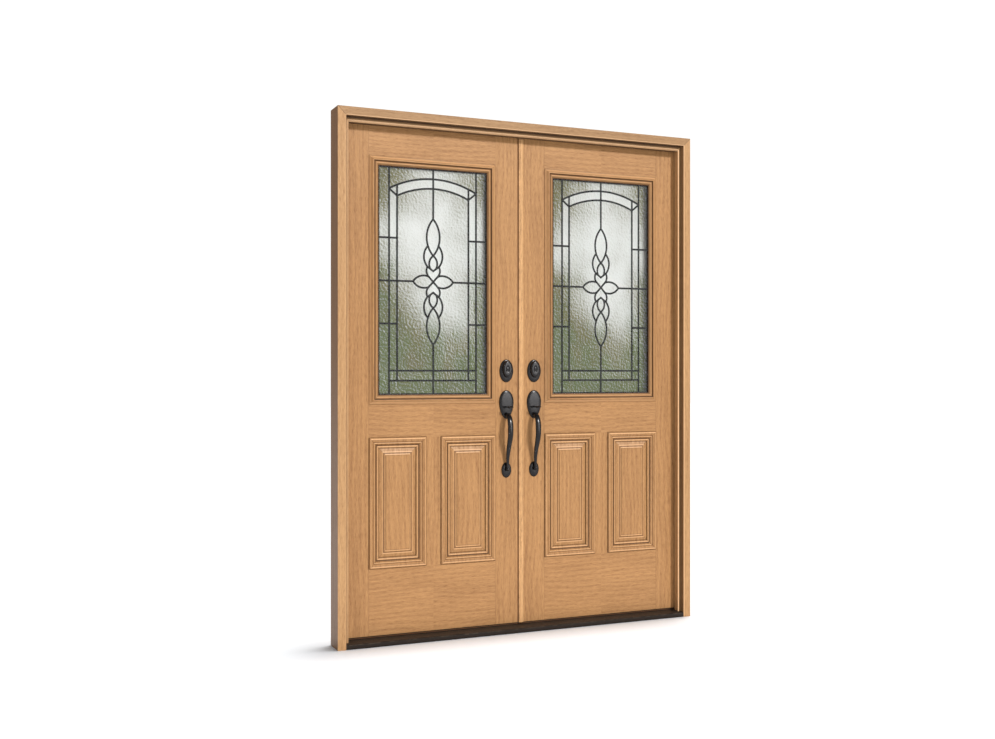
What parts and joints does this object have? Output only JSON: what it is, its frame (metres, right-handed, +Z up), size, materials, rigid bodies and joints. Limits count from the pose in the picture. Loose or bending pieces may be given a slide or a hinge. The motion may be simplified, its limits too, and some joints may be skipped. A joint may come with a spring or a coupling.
{
  "type": "glazed double door",
  "caption": "Cased double entry door with oak-look leaves, leaded glass in moulded frames, raised panels, sill and dark bronze handlesets.",
  "frame": {"origin": "middle of the sill's underside, halfway between the front of the casing and the back of the jambs", "axes": "+X to the right seen from outside, +Y from outside into the building, +Z up"},
  "size_m": [1.575, 0.1635, 2.076],
  "materials": {
    "oak_casing": "satin stained oak",
    "oak_skin": "satin stained oak-grained skin",
    "sill_bronze": "dark bronze, worn",
    "sill_cap": "matt",
    "seal_rubber": "matt",
    "clear_glass": "clear, polished",
    "textured_glass": "rippled",
    "came_lead": "dark patina",
    "spacer_black": "matt",
    "dark_bronze": "oil-rubbed bronze",
    "hinge_bronze": "oil-rubbed bronze",
    "plate_bronze": "satin bronze"
  },
  "bodies": {
    "frame": {"head_casing": "oak_casing", "head_jamb": "oak_casing", "head_weather_seal": "seal_rubber", "left_casing": "oak_casing", "left_frame_hinge_1": "hinge_bronze", "left_frame_hinge_2": "hinge_bronze", "left_frame_hinge_3": "hinge_bronze", "left_jamb": "oak_casing", "left_weather_seal": "seal_rubber", "right_casing": "oak_casing", "right_frame_hinge_1": "hinge_bronze", "right_frame_hinge_2": "hinge_bronze", "right_frame_hinge_3": "hinge_bronze", "right_jamb": "oak_casing", "right_weather_seal": "seal_rubber", "sill": "sill_bronze", "sill_cap": "sill_cap"},
    "left_leaf": {"left_came": "came_lead", "left_deadbolt": "dark_bronze", "left_deadbolt_faceplate": "plate_bronze", "left_glass_spacer": "spacer_black", "left_handle": "dark_bronze", "left_inner_pane": "clear_glass", "left_inside_deadbolt_rose": "dark_bronze", "left_inside_glazing_frame": "oak_skin", "left_inside_rose": "dark_bronze", "left_latch_faceplate": "plate_bronze", "left_leaded_pane": "textured_glass", "left_leaf_hinge_1": "hinge_bronze", "left_leaf_hinge_2": "hinge_bronze", "left_leaf_hinge_3": "hinge_bronze", "left_lower_rose": "dark_bronze", "left_outer_pane": "clear_glass", "left_outside_glazing_frame": "oak_skin", "left_slab": "oak_skin", "left_sweep": "seal_rubber"},
    "right_leaf": {"astragal": "oak_skin", "astragal_seal": "seal_rubber", "astragal_strike": "plate_bronze", "right_came": "came_lead", "right_deadbolt": "dark_bronze", "right_glass_spacer": "spacer_black", "right_handle": "dark_bronze", "right_inner_pane": "clear_glass", "right_inside_glazing_frame": "oak_skin", "right_inside_knob": "dark_bronze", "right_leaded_pane": "textured_glass", "right_leaf_hinge_1": "hinge_bronze", "right_leaf_hinge_2": "hinge_bronze", "right_leaf_hinge_3": "hinge_bronze", "right_lower_rose": "dark_bronze", "right_outer_pane": "clear_glass", "right_outside_glazing_frame": "oak_skin", "right_slab": "oak_skin", "right_sweep": "seal_rubber", "right_thumb_piece": "dark_bronze", "right_thumb_turn": "dark_bronze"},
    "left_inside_knob": {"left_inside_knob": "dark_bronze"},
    "left_thumb_piece": {"left_thumb_piece": "dark_bronze"},
    "left_thumb_turn": {"left_thumb_turn": "dark_bronze"}
  },
  "joints": [
    {"name": "left_leaf_swing", "type": "hinge", "parent": "frame", "child": "left_leaf", "pos_m": [-0.7493, 0.05725, 0.031], "axis": [0, 0, 1], "range_deg": [0, 110]},
    {"name": "right_leaf_swing", "type": "hinge", "parent": "frame", "child": "right_leaf", "pos_m": [0.7493, 0.05725, 0.031], "axis": [0, 0, -1], "range_deg": [0, 110]},
    {"name": "left_thumb_press", "type": "hinge", "parent": "left_leaf", "child": "left_thumb_piece", "pos_m": [-0.0625, -0.00225, 0.9215], "axis": [1, 0, 0], "range_deg": [0, 14], "stiffness_Nm_per_rad": 0.25, "springref_deg": -20.05},
    {"name": "left_knob_turn", "type": "hinge", "parent": "left_leaf", "child": "left_inside_knob", "pos_m": [-0.0625, 0.05075, 0.9215], "axis": [0, 1, 0], "range_deg": [-45, 45], "stiffness_Nm_per_rad": 0.3},
    {"name": "left_thumb_turn_turn", "type": "hinge", "parent": "left_leaf", "child": "left_thumb_turn", "pos_m": [-0.0625, 0.05075, 1.066], "axis": [0, 1, 0], "range_deg": [0, 90]}
  ]
}
